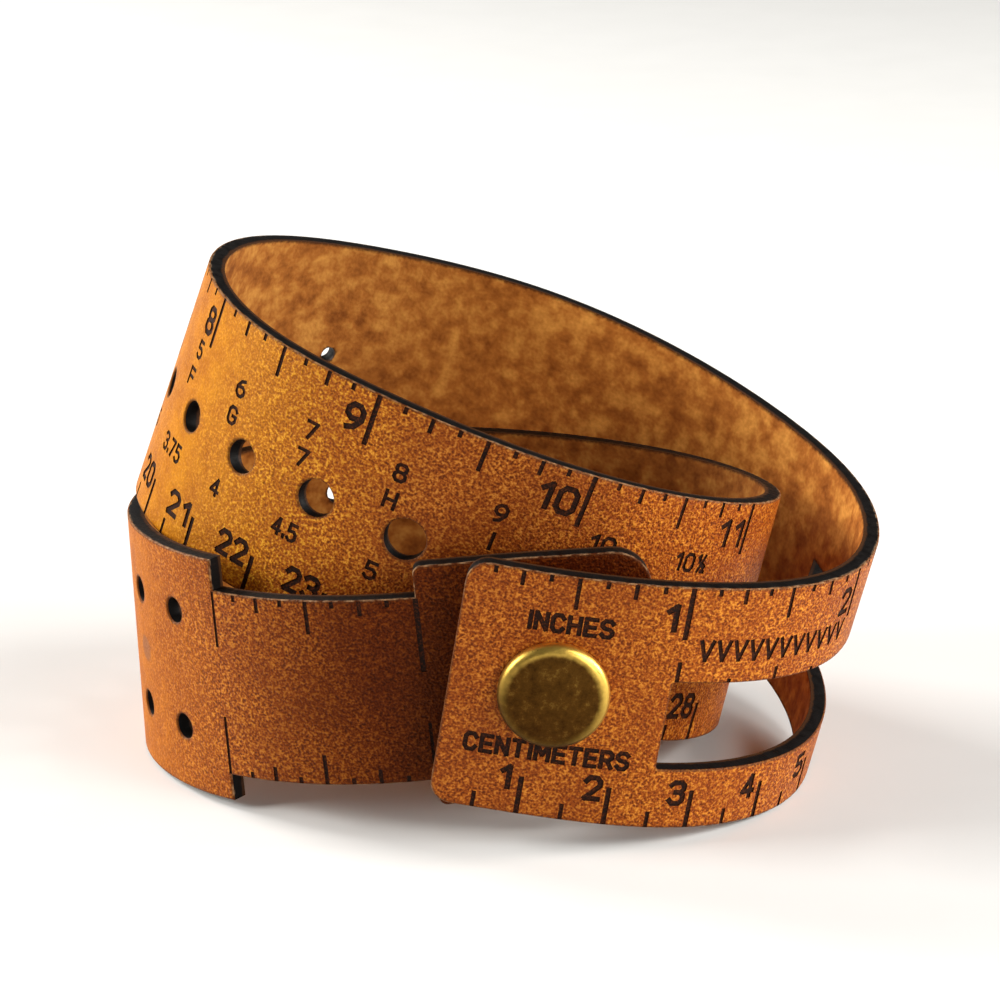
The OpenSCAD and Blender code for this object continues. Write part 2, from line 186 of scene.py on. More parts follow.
# Plain stroke lettering: each sign is a few lines through points in a box 2 wide and 3 high
SIGNS = {
    "0": [[(0, 0.6), (0.5, 0), (1.5, 0), (2, 0.6), (2, 2.4), (1.5, 3), (0.5, 3), (0, 2.4), (0, 0.6)]],
    "1": [[(0.2, 2.3), (1.1, 3), (1.1, 0)]],
    "2": [[(0, 2.4), (0.5, 3), (1.5, 3), (2, 2.5), (2, 1.9), (0.1, 0), (2, 0)]],
    "3": [
        [(0, 2.6), (0.5, 3), (1.5, 3), (2, 2.6), (2, 2), (1.5, 1.6), (0.8, 1.6)],
        [(1.5, 1.6), (2, 1.2), (2, 0.5), (1.5, 0), (0.5, 0), (0, 0.5)],
    ],
    "4": [[(1.5, 0), (1.5, 3), (0, 0.8), (2.1, 0.8)]],
    "5": [[(1.9, 3), (0.2, 3), (0.1, 1.7), (1.4, 1.8), (2, 1.3), (2, 0.5), (1.4, 0), (0.5, 0), (0, 0.4)]],
    "6": [
        [(1.7, 3), (0.8, 2.7), (0, 1.6), (0, 0.6), (0.6, 0), (1.4, 0), (2, 0.6), (2, 1.3), (1.4, 1.8),
         (0.1, 1.6)],
    ],
    "7": [[(0, 3), (2, 3), (0.7, 0)]],
    "8": [
        [(0.5, 1.6), (1.5, 1.6), (1.9, 2), (1.9, 2.6), (1.5, 3), (0.5, 3), (0.1, 2.6), (0.1, 2),
         (0.5, 1.6)],
        [(0.5, 1.6), (0, 1.1), (0, 0.5), (0.5, 0), (1.5, 0), (2, 0.5), (2, 1.1), (1.5, 1.6)],
    ],
    "9": [
        [(0.3, 0), (1.2, 0.3), (2, 1.4), (2, 2.4), (1.4, 3), (0.6, 3), (0, 2.4), (0, 1.7), (0.6, 1.2),
         (1.9, 1.4)],
    ],
    ".": [[(0, 0), (0, 0.45)]],
    "½": [
        [(0.1, 2.6), (0.5, 3), (0.5, 1.7)],
        [(1.7, 3), (0.4, 0)],
        [(1.3, 1), (1.6, 1.3), (2, 1), (1.3, 0), (2.1, 0)],
    ],
    "A": [[(0, 0), (1, 3), (2, 0)], [(0.4, 1), (1.6, 1)]],
    "B": [
        [(0, 0), (0, 3), (1.4, 3), (1.9, 2.6), (1.9, 2), (1.4, 1.6), (0, 1.6)],
        [(1.4, 1.6), (2, 1.1), (2, 0.5), (1.5, 0), (0, 0)],
    ],
    "C": [[(2, 2.4), (1.5, 3), (0.5, 3), (0, 2.4), (0, 0.6), (0.5, 0), (1.5, 0), (2, 0.6)]],
    "D": [[(0, 0), (0, 3), (1.3, 3), (2, 2.3), (2, 0.7), (1.3, 0), (0, 0)]],
    "E": [[(1.9, 3), (0, 3), (0, 0), (1.9, 0)], [(0, 1.5), (1.7, 1.5)]],
    "F": [[(1.9, 3), (0, 3), (0, 0)], [(0, 1.5), (1.7, 1.5)]],
    "G": [
        [(2, 2.4), (1.5, 3), (0.5, 3), (0, 2.4), (0, 0.6), (0.5, 0), (1.5, 0), (2, 0.6), (2, 1.4),
         (1.1, 1.4)],
    ],
    "H": [[(0, 0), (0, 3)], [(2, 0), (2, 3)], [(0, 1.5), (2, 1.5)]],
    "I": [[(0.2, 0), (0.2, 3)]],
    "J": [[(2, 3), (2, 0.6), (1.5, 0), (0.5, 0), (0, 0.6)]],
    "K": [[(0, 0), (0, 3)], [(2, 3), (0.1, 1.1)], [(0.8, 1.8), (2, 0)]],
    "M": [[(0, 0), (0, 3), (1.2, 1), (2.4, 3), (2.4, 0)]],
    "N": [[(0, 0), (0, 3), (2, 0), (2, 3)]],
    "R": [[(0, 0), (0, 3), (1.4, 3), (2, 2.5), (2, 1.9), (1.4, 1.4), (0, 1.4)], [(1.1, 1.4), (2, 0)]],
    "S": [
        [(2, 2.5), (1.5, 3), (0.5, 3), (0, 2.5), (0, 2), (0.5, 1.6), (1.5, 1.4), (2, 1), (2, 0.5), (1.5, 0),
         (0.5, 0), (0, 0.5)],
    ],
    "T": [[(0, 3), (2, 3)], [(1, 3), (1, 0)]],
}
SIGN_GAP = 1.1
NARROWEST_SIGN = 0.4

# ---- stretches of the strap whose leather looks different, some by painted light and shade: where each fades in, is full and fades out ----
WORN_SECOND_TURN = (176.0, 190.0, 204.0, 224.0)
WORN_THIRD_TURN = (370.0, 385.0, 408.0, 426.0)
# Painted sunlight: the left of the second turn brighter and more golden
PAINTED_SUNLIGHT = (178.0, 208.0, 222.0, 238.0)
# Painted shade: the flap darker towards its free end, round the snap cap
PAINTED_SHADE_STRETCH = (226.0, 236.0, 250.0, 262.0)
# Painted shade: the second turn darker where it faces the front
SHADED_FLAP_END = (26.0, 8.0)
# Painted shadow of the flap: darker towards the tab and over it
FLAP_SHADOW_STRETCH = (422.0, 451.0)
# Painted shade: the flesh side darker past the first turn's back
SHADED_FLESH = (118.0, 160.0)
STAIN = (409.0, 15.0, SKIN)
OUTER_BORDER = (10.2, 10.9)  # distance from the strap's middle line

# ---- camera and lamps ----
CAMERA_LENS = 126.9
CAMERA_SENSOR = 36.0
CAMERA_ELEVATION = 18.0
CAMERA_DISTANCE = 0.4293
LAMP_DISTANCE = 0.9
LAMP_SIZE = 0.35
LAMPS = [  # name, azimuth, elevation, power and colour
    ("front_right", 35, 12, 2.5, (1.0, 0.98, 0.95)),
    ("right_key", 58, 34, 4.4, (1.0, 0.98, 0.95)),
    ("right_side", 92, 20, 8.0, (1.0, 0.98, 0.94)),
    ("left_side", -84, 24, 7.6, (1.0, 0.98, 0.94)),
    ("left_back", -125, 30, 7.2, (1.0, 0.98, 0.94)),
]
SKY = (0.95, 0.96, 1.0)
SKY_STRENGTH = 0.05
FLOOR_REACH = 3.0


# =====================================================================================
# The route
# =====================================================================================
def stations():
    """Each station of the route as x, y, height and lean."""
    angle = np.radians(ROUTE_FIRST + ROUTE_STEP * np.arange(len(ROUTE)))
    r, z, lean = np.array(ROUTE, float).T
    x = ROUTE_MIDDLE[0] + r * np.sin(angle)
    y = ROUTE_MIDDLE[1] - r * np.cos(angle)
    return np.stack([x, y, z, lean], 1)


STATIONS = stations()


def spline(u):
    """Place and slope of the uniform cubic spline through the stations, at u stations from its start."""
    first = np.clip(np.floor(u).astype(int), 0, len(STATIONS) - 4)
    f = u - first
    place_weights = [(1 - f) ** 3, 3 * f**3 - 6 * f * f + 4, -3 * f**3 + 3 * f * f + 3 * f + 1, f**3]
    slope_weights = [-((1 - f) ** 2), 3 * f * f - 4 * f, -3 * f * f + 2 * f + 1, f * f]
    place_weights = np.stack(place_weights, 1) / 6
    slope_weights = np.stack(slope_weights, 1) / 2
    place = sum(place_weights[:, k : k + 1] * STATIONS[first + k] for k in range(4))
    slope = sum(slope_weights[:, k : k + 1] * STATIONS[first + k] for k in range(4))
    return place, slope


SPLINE_U = np.arange((len(ROUTE) - 3) * SAMPLES_PER_STATION + 1) / SAMPLES_PER_STATION
SPLINE_POINTS = spline(SPLINE_U)[0][:, :3]
TRAVEL = np.concatenate([[0], np.cumsum(np.linalg.norm(np.diff(SPLINE_POINTS, axis=0), axis=1))])


def unit(a):
    return a / np.linalg.norm(a, axis=-1, keepdims=True)


def strap_frame(s):
    """Centre, heading, across (towards the inch edge) and outward direction at s mm along the strap."""
    u = np.interp(np.asarray(s, float) + LEAD_IN, TRAVEL, SPLINE_U)
    place, slope = spline(u)
    heading = unit(slope[:, :3])
    out = unit(np.stack([heading[:, 1], -heading[:, 0], np.zeros(len(heading))], 1))
    lean = np.radians(place[:, 3:4])
    across = np.cross(out, heading) * np.cos(lean) + out * np.sin(lean)
    return place[:, :3], heading, across, np.cross(heading, across)


def bend(s, v, rise):
    """Points of the flat pattern, in mm, as points in space, in metres."""
    centre, _, across, outward = strap_frame(s)
    return (centre + (np.asarray(v) - MIDDLE)[:, None] * across + np.asarray(rise)[:, None] * outward) * MM


# =====================================================================================
# The flat pattern: outlines, holes and marks
# =====================================================================================
def arc(cx, cy, r, start, end):
    """Points of an arc from start to end degrees."""
    n = max(2, int(abs(end - start) / ARC_STEP))
    return [
        (cx + r * math.cos(math.radians(a)), cy + r * math.sin(math.radians(a)))
        for a in np.linspace(start, end, n + 1)
    ]


def stepped(points, step=STEP_ALONG):
    """The closed loop with points added, so that no side is longer than step."""
    loop = []
    for (x0, y0), (x1, y1) in zip(points, points[1:] + points[:1]):
        n = max(1, math.ceil(math.hypot(x1 - x0, y1 - y0) / step))
        loop += [(x0 + (x1 - x0) * k / n, y0 + (y1 - y0) * k / n) for k in range(n)]
    return loop


def outline():
    """The strap's outline, anticlockwise from the snap cap's end, with the notches of the wraps stretch."""
    end, top, corner = STRAP_LENGTH, STRAP_WIDTH, TAB_CORNER
    loop = arc(START_CORNER, START_CORNER, START_CORNER, 180, 270)
    loop += [(FLAP_PIECE_END, 0), (WRAPS_START, 0), (WRAPS_START, NOTCH_BOTTOM), (WRAPS_END, NOTCH_BOTTOM)]
    loop += arc(WRAPS_END + corner, corner, corner, 180, 270)
    loop += arc(end - END_CORNER, END_CORNER, END_CORNER, -90, 0)
    loop += arc(end - END_CORNER, top - END_CORNER, END_CORNER, 0, 90)
    loop += arc(WRAPS_END + corner, top - corner, corner, 90, 180)
    loop += [(WRAPS_END, top - NOTCH_TOP), (WRAPS_START, top - NOTCH_TOP)]
    loop += [(WRAPS_START, top), (FLAP_PIECE_END, top)]
    loop += arc(START_CORNER, top - START_CORNER, START_CORNER, 90, 180)
    return stepped(loop)


def rounded_box(s0, s1, v0, v1, r):
    loop = arc(s0 + r, v0 + r, r, 180, 270) + arc(s1 - r, v0 + r, r, 270, 360)
    loop += arc(s1 - r, v1 - r, r, 0, 90) + arc(s0 + r, v1 - r, r, 90, 180)
    return stepped(loop)


def circle(cx, cy, r):
    sides_per_mm, fewest, most = 12, 24, 56
    n = int(np.clip(sides_per_mm * r, fewest, most))
    return [(cx + r * math.cos(a), cy + r * math.sin(a)) for a in np.arange(n) * 2 * math.pi / n]


def needle_places():
    """Middle of each gauge hole, with an equal web of leather between neighbours."""
    sizes = [n[0] for n in NEEDLES]
    reach = np.cumsum(sizes) - np.array(sizes) / 2 + GAUGE_WEB * np.arange(len(sizes))
    return ANCHOR_PLACE + reach - reach[ANCHOR_NEEDLE]


HOLES = [(s, MIDDLE, n[0] / 2) for s, n in zip(needle_places(), NEEDLES)]
for column in range(COUNTER_COLUMNS):
    HOLES += [(COUNTER_LAST - column * COUNTER_PITCH, v, COUNTER_HOLE / 2) for v in COUNTER_ROWS]
HOLES += [(CAP_PLACE, SNAP_ACROSS, CAP_HOLE / 2), (STUD_PLACE, SNAP_ACROSS, STUD_HOLE / 2)]


def bar(s, v0, v1, width=TICK):
    """A straight mark across the strap at s, from v0 to v1."""
    return [(s - width / 2, v0), (s + width / 2, v0), (s + width / 2, v1), (s - width / 2, v1)]


def ruler_marks():
    """Ticks and lines of the two rulers, the stitch window and the wraps stretch."""
    top = STRAP_WIDTH - MARK_MARGIN
    marks = []
    for k in range(1, RULER_INCHES * 8 + 1):
        depth, width = EIGHTHS.get(k % 8, ODD_EIGHTH)
        marks.append(bar(k * INCH / 8, STRAP_WIDTH - depth, top, width))
    for k in range(1, RULER_CENTIMETRES * 2 + 1):
        depth, width = HALF_CENTIMETRE if k % 2 else CENTIMETRE
        marks.append(bar(k * CM / 2, MARK_MARGIN, depth, width))
    window_top = WINDOW[3]
    for k in range(8, 16):
        if k % 8 in WINDOW_TICKS:
            marks.append(bar(k * INCH / 8, window_top + MARK_MARGIN, window_top + WINDOW_TICKS[k % 8]))
    upper, lower = STRAP_WIDTH - NOTCH_TOP, NOTCH_BOTTOM
    for s, (depth, width) in ((WRAPS_START, WRAPS_START_LINE), (WRAPS_END, WRAPS_END_LINE)):
        marks.append(bar(s, upper - depth, upper - MARK_MARGIN, width))
    depth, width = WRAPS_LOWER_LINE
    marks += [bar(s, lower + MARK_MARGIN, lower + depth, width) for s in (WRAPS_START, WRAPS_END)]
    for k in range(1, 8):
        above, below = WRAPS_TICKS.get(k, ODD_WRAPS_TICK)
        s = WRAPS_START + k * INCH / 8
        marks.append(bar(s, upper - above, upper - MARK_MARGIN))
        marks.append(bar(s, lower + MARK_MARGIN, lower + below))
    return marks


def line_marks(points, stroke):
    """A line of the given stroke through the points, as four-sided marks that meet at its corners."""
    sharp_turn = 0.3  # a line that turns by more than the angle with this cosine is drawn as two
    past_end = 0.4 * stroke
    p = np.array(points, float)
    heading = unit(p[1:] - p[:-1])
    for k in range(1, len(heading)):
        if heading[k] @ heading[k - 1] < sharp_turn:
            return line_marks(points[: k + 1], stroke) + line_marks(points[k:], stroke)
    p[0] -= heading[0] * past_end
    p[-1] += heading[-1] * past_end
    side = np.stack([-heading[:, 1], heading[:, 0]], 1)
    before, after = np.vstack([side[:1], side]), np.vstack([side, side[-1:]])
    corner = unit(before + after)
    reach = corner * (stroke / 2 / (corner * after).sum(1))[:, None]
    right, left = p - reach, p + reach
    return [[right[k], right[k + 1], left[k + 1], left[k]] for k in range(len(p) - 1)]


def stitch_marks():
    """A row of knitted stitches above the window: each is a V of two slanted strokes."""
    low, high = STITCH_ROW
    marks = []
    for k in range(STITCHES):
        s = STITCH_START + k * STITCH_PITCH
        stitch = [(s - STITCH_HALF_WIDTH, high), (s, low), (s + STITCH_HALF_WIDTH, high)]
        marks += line_marks(stitch, STITCH_STROKE)
    return marks


def lettering(words, s, v, height, width, stroke):
    """The marks of a line of plain lettering centred at s, v, with its outer sizes in mm."""
    reach = [max(x for line in SIGNS[sign] for x, _ in line) for sign in words]
    starts = np.concatenate([[0], np.cumsum(np.array(reach) + SIGN_GAP)])
    length = starts[-1] - SIGN_GAP
    along = (width - stroke) / max(length, NARROWEST_SIGN)
    up = (height - stroke) / 3
    marks = []
    for sign, start in zip(words, starts):
        for line in SIGNS[sign]:
            points = [(s + (start + x - length / 2) * along, v + (y - 1.5) * up) for x, y in line]
            marks += line_marks(points, stroke)
    return marks


def ruler_numbers(count, unit_length, numbers, v, height, stroke):
    """The numbers from 1 to count, each just before its line of the ruler."""
    marks = []
    for k in range(1, count + 1):
        before, width = numbers[len(str(k))]
        if k == 1:
            width = RULER_ONE_WIDTH * width
        marks += lettering(str(k), k * unit_length - before, v, height, width, stroke)
    return marks


def all_lettering():
    """Numbers of the rulers and gauges, and the names of the two units."""
    marks = []
    for name, s, v, width in UNIT_NAMES:
        marks += lettering(name, s, v, UNIT_HEIGHT, width, UNIT_STROKE)
    marks += ruler_numbers(RULER_INCHES, INCH, INCH_NUMBERS, INCH_ACROSS, INCH_HEIGHT, INCH_STROKE)
    marks += ruler_numbers(RULER_CENTIMETRES, CM, CM_NUMBERS, CM_ACROSS, CM_HEIGHT, CM_STROKE)
    for place, needle in zip(needle_places(), NEEDLES):
        for entry, before, v in GAUGE_ROWS:
            words = needle[entry]
            width = GAUGE_SIGN_PITCH * len(words.replace(".", "")) - GAUGE_SIGN_GAP
            if words == "1":
                width = GAUGE_ONE_WIDTH
            marks += lettering(words, place - before, v, GAUGE_HEIGHT, width, GAUGE_STROKE)
    return marks


def inset(loop, distance):
    """The closed anticlockwise loop moved inwards by distance."""
    points = np.array(loop)
    before, after = np.roll(points, 1, 0), np.roll(points, -1, 0)
    first, second = unit(points - before), unit(after - points)
    normal = unit(np.stack([-first[:, 1] - second[:, 1], first[:, 0] + second[:, 0]], 1))
    cos_half = np.abs(normal[:, 0] * -first[:, 1] + normal[:, 1] * first[:, 0])
    sharpest = 0.5  # keeps a sharp corner from being moved too far
    return points + normal * (distance / np.maximum(cos_half, sharpest))[:, None]


def distance_to_loops(points, loops):
    """Distance of each point to the nearest side of any loop, or a large number where all are far off."""
    most_at_once = 2_000_000
    far_off = 1e9
    nearest = np.full(len(points), far_off)
    for loop in loops:
        a = np.array(loop)
        b = np.roll(a, -1, 0)
        low, high = a.min(0) - EDGE_REACH, a.max(0) + EDGE_REACH
        near = np.where(((points > low) & (points < high)).all(1))[0]
        for part in np.array_split(near, max(1, len(near) * len(a) // most_at_once)):
            if not len(part):
                continue
            p = points[part][:, None, :]
            side = (b - a)[None]
            along = np.clip(((p - a[None]) * side).sum(2) / np.maximum((side**2).sum(2), 1e-12), 0, 1)
            gap = np.linalg.norm(p - a[None] - along[..., None] * side, axis=2).min(1)
            nearest[part] = np.minimum(nearest[part], gap)
    return nearest


def inside_loop(points, loop):
    """Whether each point lies inside the closed loop."""
    a = np.array(loop)
    b = np.roll(a, -1, 0)
    inside = np.zeros(len(points), bool)
    for (x0, y0), (x1, y1) in zip(a, b):
        if y0 == y1:
            continue
        crosses = (points[:, 1] >= min(y0, y1)) & (points[:, 1] < max(y0, y1))
        x = x0 + (points[:, 1] - y0) * (x1 - x0) / (y1 - y0)
        inside ^= crosses & (points[:, 0] < x)
    return inside


def in_leather(points, border, openings):
    """Whether each point is leather: inside the border and in none of the openings."""
    solid = inside_loop(points, border)
    for loop in openings:
        low, high = np.min(loop, 0), np.max(loop, 0)
        near = np.where(((points > low) & (points < high)).all(1))[0]
        if len(near):
            solid[near] &= ~inside_loop(points[near], loop)
    return solid


# =====================================================================================
# Meshes of the strap
# =====================================================================================
def triangulate(points, sides):
    """Triangles over the points that keep every side, and where each given point went."""
    made = delaunay_2d_cdt([Vector((float(x), float(y))) for x, y in points], sides, [], 0, 1e-6)
    out_points = np.array([p[:] for p in made[0]])
    triangles = np.array(made[2])
    went_to = {given: k for k, givens in enumerate(made[3]) for given in givens}
    a, b, c = (out_points[triangles[:, k]] for k in range(3))
    turned = (b - a)[:, 0] * (c - a)[:, 1] - (b - a)[:, 1] * (c - a)[:, 0] < 0
    triangles[turned] = triangles[turned][:, ::-1]
    return out_points, triangles, went_to


def loop_sides(first, count):
    return [(first + k, first + (k + 1) % count) for k in range(count)]


def grid(step_along, step_across, keep_off):
    """Points in staggered rows over the leather, none closer to an edge than keep_off."""
    rows = np.arange(step_across / 2, STRAP_WIDTH, step_across)
    columns = np.arange(step_along / 2, STRAP_LENGTH, step_along)
    s, v = np.meshgrid(columns, rows, indexing="ij")
    s = s + (np.arange(len(rows)) % 2)[None] * step_along / 2
    points = np.stack([s.ravel(), v.ravel()], 1)
    points = points[in_leather(points, BORDER, OPENINGS)]
    points = points[np.abs(points[:, 0] - FLAP_PIECE_END) > keep_off / 2]
    return points[distance_to_loops(points, EDGES) > keep_off]


def grain_triangles():
    """The marked grain side: points, triangles, and which triangles are sunk marks."""
    points, sides = [], []
    rounding = EDGE_ROUND * 0.35  # one row of points part way round the rounded edge
    clear_of_burn = BURN_WIDTH + 0.35
    seam = [(FLAP_PIECE_END, v) for v in np.linspace(0, STRAP_WIDTH, SEAM_POINTS)]
    sides += [(k, k + 1) for k in range(len(seam) - 1)]
    points += seam
    loops = EDGES + MARKS
    for gap in (rounding, EDGE_ROUND, BURN_WIDTH):
        loops.append(inset(BORDER, gap))
        loops += [inset(loop[::-1], gap) for loop in OPENINGS]
    for loop in loops:
        sides += loop_sides(len(points), len(loop))
        points += list(loop)
    points += list(grid(STEP_ALONG, STEP_ACROSS, clear_of_burn))
    points, triangles, _ = triangulate(points, sides)
    triangles = triangles[in_leather(points[triangles].mean(1), BORDER, OPENINGS)]
    return points, triangles, in_marks(points[triangles].mean(1))


def in_marks(centres):
    """Whether each triangle's centre lies in a mark."""
    order = np.argsort(centres[:, 0])
    sorted_s = centres[order, 0]
    marked = np.zeros(len(centres), bool)
    for mark in MARKS:
        low, high = np.min(mark, 0), np.max(mark, 0)
        near = order[np.searchsorted(sorted_s, low[0]) : np.searchsorted(sorted_s, high[0])]
        if len(near):
            marked[near] |= inside_loop(centres[near], mark)
    return marked


def directed_sides(triangles, groups):
    """Each triangle side as (from, to) with the group of the triangle it belongs to."""
    found = {}
    for (a, b, c), group in zip(triangles.tolist(), groups):
        for side in ((a, b), (b, c), (c, a)):
            found[side] = group
    return found


def strap_pieces():
    """The flap's piece and the coil's piece, each one closed mesh with grain, flesh, walls and marks."""
    points, triangles, marked = grain_triangles()
    piece = (points[triangles].mean(1)[:, 0] > FLAP_PIECE_END).astype(int)
    groups = list(zip(piece.tolist(), marked.tolist()))
    sides = directed_sides(triangles, groups)
    open_sides = [(a, b) for a, b in sides if (b, a) not in sides]
    seam_sides = [(a, b) for a, b in sides if (b, a) in sides and sides[(a, b)][0] != sides[(b, a)][0]]

    # The flesh side keeps the grain side's border points, so that walls can join the two
    rim = sorted({k for ab in open_sides + seam_sides for k in ab})
    rim_index = {k: n for n, k in enumerate(rim)}
    kept = open_sides + [(a, b) for a, b in seam_sides if a < b]
    kept = [(rim_index[a], rim_index[b]) for a, b in kept]
    flesh_grid = grid(FLESH_STEP_ALONG, FLESH_STEP_ACROSS, FLESH_KEEP_OFF)
    flesh_points, flesh_triangles, went_to = triangulate(list(points[rim]) + list(flesh_grid), kept)
    solid = in_leather(flesh_points[flesh_triangles].mean(1), BORDER, OPENINGS)
    flesh_triangles = flesh_triangles[solid]
    flesh_piece = flesh_points[flesh_triangles].mean(1)[:, 0] > FLAP_PIECE_END

    gap = distance_to_loops(points, EDGES)
    gap[rim] = np.where(np.isin(rim, [k for ab in open_sides for k in ab]), 0, gap[rim])
    drop = EDGE_ROUND - np.sqrt(np.maximum(EDGE_ROUND**2 - np.maximum(EDGE_ROUND - gap, 0) ** 2, 0))
    flesh_gap = distance_to_loops(flesh_points, EDGES)
    pieces = []
    for which, name in enumerate(("leather_flap", "leather_coil")):
        flat, gaps, faces, materials, index = [], [], [], [], {}

        def vertex(kind, k):
            """The number of a point on the grain, at the bottom of a mark or on the flesh side."""
            if (kind, k) not in index:
                index[(kind, k)] = len(flat)
                if kind == "flesh":
                    flat.append((*flesh_points[k], -SKIN))
                    gaps.append(flesh_gap[k])
                else:
                    flat.append((*points[k], SKIN - drop[k] - (MARK_DEPTH if kind == "sunk" else 0)))
                    gaps.append(gap[k])
            return index[(kind, k)]

        own = [n for n, (p, _) in enumerate(groups) if p == which]
        for n in own:
            kind = "sunk" if groups[n][1] else "grain"
            faces.append([vertex(kind, k) for k in triangles[n]])
            materials.append(MARK if groups[n][1] else GRAIN)
        for triangle in flesh_triangles[flesh_piece == bool(which)]:
            faces.append([vertex("flesh", k) for k in triangle[::-1]])
            materials.append(FLESH)

        def column(sunk, k):
            """The points under a rim point, from its own level down to the flesh side."""
            top = [] if sunk else [vertex("grain", k)]
            deeper = [vertex("sunk", k)] if sunk or ("sunk", k) in index else []
            return top + deeper + [vertex("flesh", went_to[rim_index[k]])]

        for (a, b), (p, sunk) in sides.items():
            if p != which:
                continue
            other = sides.get((b, a))
            if other is None or other[0] != which:
                faces.append(column(sunk, a) + column(sunk, b)[::-1])
                materials.append(WALL)
            elif sunk and not other[1]:
                faces.append([vertex("sunk", b), vertex("sunk", a), vertex("grain", a), vertex("grain", b)])
                materials.append(MARK)
        flat = np.array(flat)
        mesh = bpy.data.meshes.new(name)
        mesh.from_pydata(bend(flat[:, 0], flat[:, 1], flat[:, 2]).tolist(), [], faces)
        mesh.polygons.foreach_set("material_index", materials)
        mesh.attributes.new("flat", "FLOAT_VECTOR", "POINT").data.foreach_set("vector", flat.ravel())
        mesh.attributes.new("edge", "FLOAT", "POINT").data.foreach_set("value", np.array(gaps, float))
        pieces.append(finish_mesh(name, mesh))
    return pieces


def place_in_scene(name, data):
    """An object made from a mesh, camera or lamp, in the scene."""
    thing = bpy.data.objects.new(name, data)
    bpy.context.scene.collection.objects.link(thing)
    return thing


def finish_mesh(name, mesh, sharp_angle=50):
    """An object from a closed mesh: faces turned outwards, smooth but for sharp edges."""
    work = bmesh.new()
    work.from_mesh(mesh)
    bmesh.ops.recalc_face_normals(work, faces=work.faces)
    for face in work.faces:
        face.smooth = True
    for edge in work.edges:
        edge.smooth = edge.is_manifold and edge.calc_face_angle(0) < math.radians(sharp_angle)
    work.to_mesh(mesh)
    work.free()
    return place_in_scene(name, mesh)


GRAIN, FLESH, WALL, MARK = range(4)
MARKS = ruler_marks() + stitch_marks() + all_lettering()
BORDER = outline()
OPENINGS = [circle(*hole) for hole in HOLES] + [rounded_box(*WINDOW, WINDOW_CORNER)]
EDGES = [BORDER, *OPENINGS]


# =====================================================================================
# The snap's own frame, as in the CAD model: its axis is square to the flap
# =====================================================================================
def snap_frame():
    """The tab's outer face under the stud, the snap's axis, and the gap between the leathers, in mm."""
    axis = strap_frame([CAP_PLACE])[3][0]
    cap_middle = bend([CAP_PLACE], [SNAP_ACROSS], [0])[0] / MM
    tab_middle = bend([STUD_PLACE], [SNAP_ACROSS], [0])[0] / MM
    gap = (cap_middle - tab_middle) @ axis - LEATHER
    return cap_middle - axis * (SKIN + gap), axis, gap


SNAP_ZERO, SNAP_AXIS, SNAP_GAP = snap_frame()


def lathe(name, profile, rise, segments=144):
    """A closed ring of metal turned round the snap's axis from an outline of (radius, height) in mm."""
    side = unit(np.cross(SNAP_AXIS, (0, 0, 1)))
    other = np.cross(SNAP_AXIS, side)
    points, faces = [], []
    for k in range(segments):
        a = 2 * math.pi * k / segments
        out = side * math.cos(a) + other * math.sin(a)
        points += [tuple((SNAP_ZERO + SNAP_AXIS * (rise + h) + out * r) * MM) for r, h in profile]
    n = len(profile)
    for k in range(segments):
        here, there = k * n, (k + 1) % segments * n
        for j in range(n):
            if profile[j][0] or profile[(j + 1) % n][0]:
                faces.append((here + j, here + (j + 1) % n, there + (j + 1) % n, there + j))
    mesh = bpy.data.meshes.new(name)
    mesh.from_pydata(points, [], faces)
    flat = [(r, h, 0) for _ in range(segments) for r, h in profile]
    mesh.attributes.new("turned", "FLOAT_VECTOR", "POINT").data.foreach_set("vector", np.ravel(flat))
    # Points on the axis are made once for every segment, and are joined here
    work = bmesh.new()
    work.from_mesh(mesh)
    bmesh.ops.remove_doubles(work, verts=work.verts, dist=1e-7)
    work.to_mesh(mesh)
    work.free()
    return finish_mesh(name, mesh, sharp_angle=35)


def cap_profile():
    """A drawn cap: a nearly flat top with a shallow ring before its rounded, turned-under rim."""
    r, height, rim, wall = 6.4, 1.8, 1.1, 0.35
    crown = 0.25
    top = height - crown
    flat_end = r - rim
    outer = [(0.0, height)]
    outer += [(x, height - crown * (x / flat_end) ** 2) for x in np.linspace(0.8, flat_end - 0.5, 7)]
    outer += [(flat_end - 0.2, top - 0.02), (flat_end, top)]
    rim_angles = np.radians(np.arange(12, 91, 6))
    outer += [(flat_end + rim * math.sin(a), top - rim * (1 - math.cos(a))) for a in rim_angles]
    outer += [(r, 0.2), (r - 0.1, 0.05), (r - 0.35, 0.02)]
    outer += [(flat_end, 0.02), (flat_end, 0.18), (r - wall, 0.3)]
    under_top = 14  # this many points of the outside have the inside's wall under them
    inner = [(x - wall * 0.5 if x > wall else x, y - wall) for x, y in outer[:under_top]][::-1]
    return outer + inner


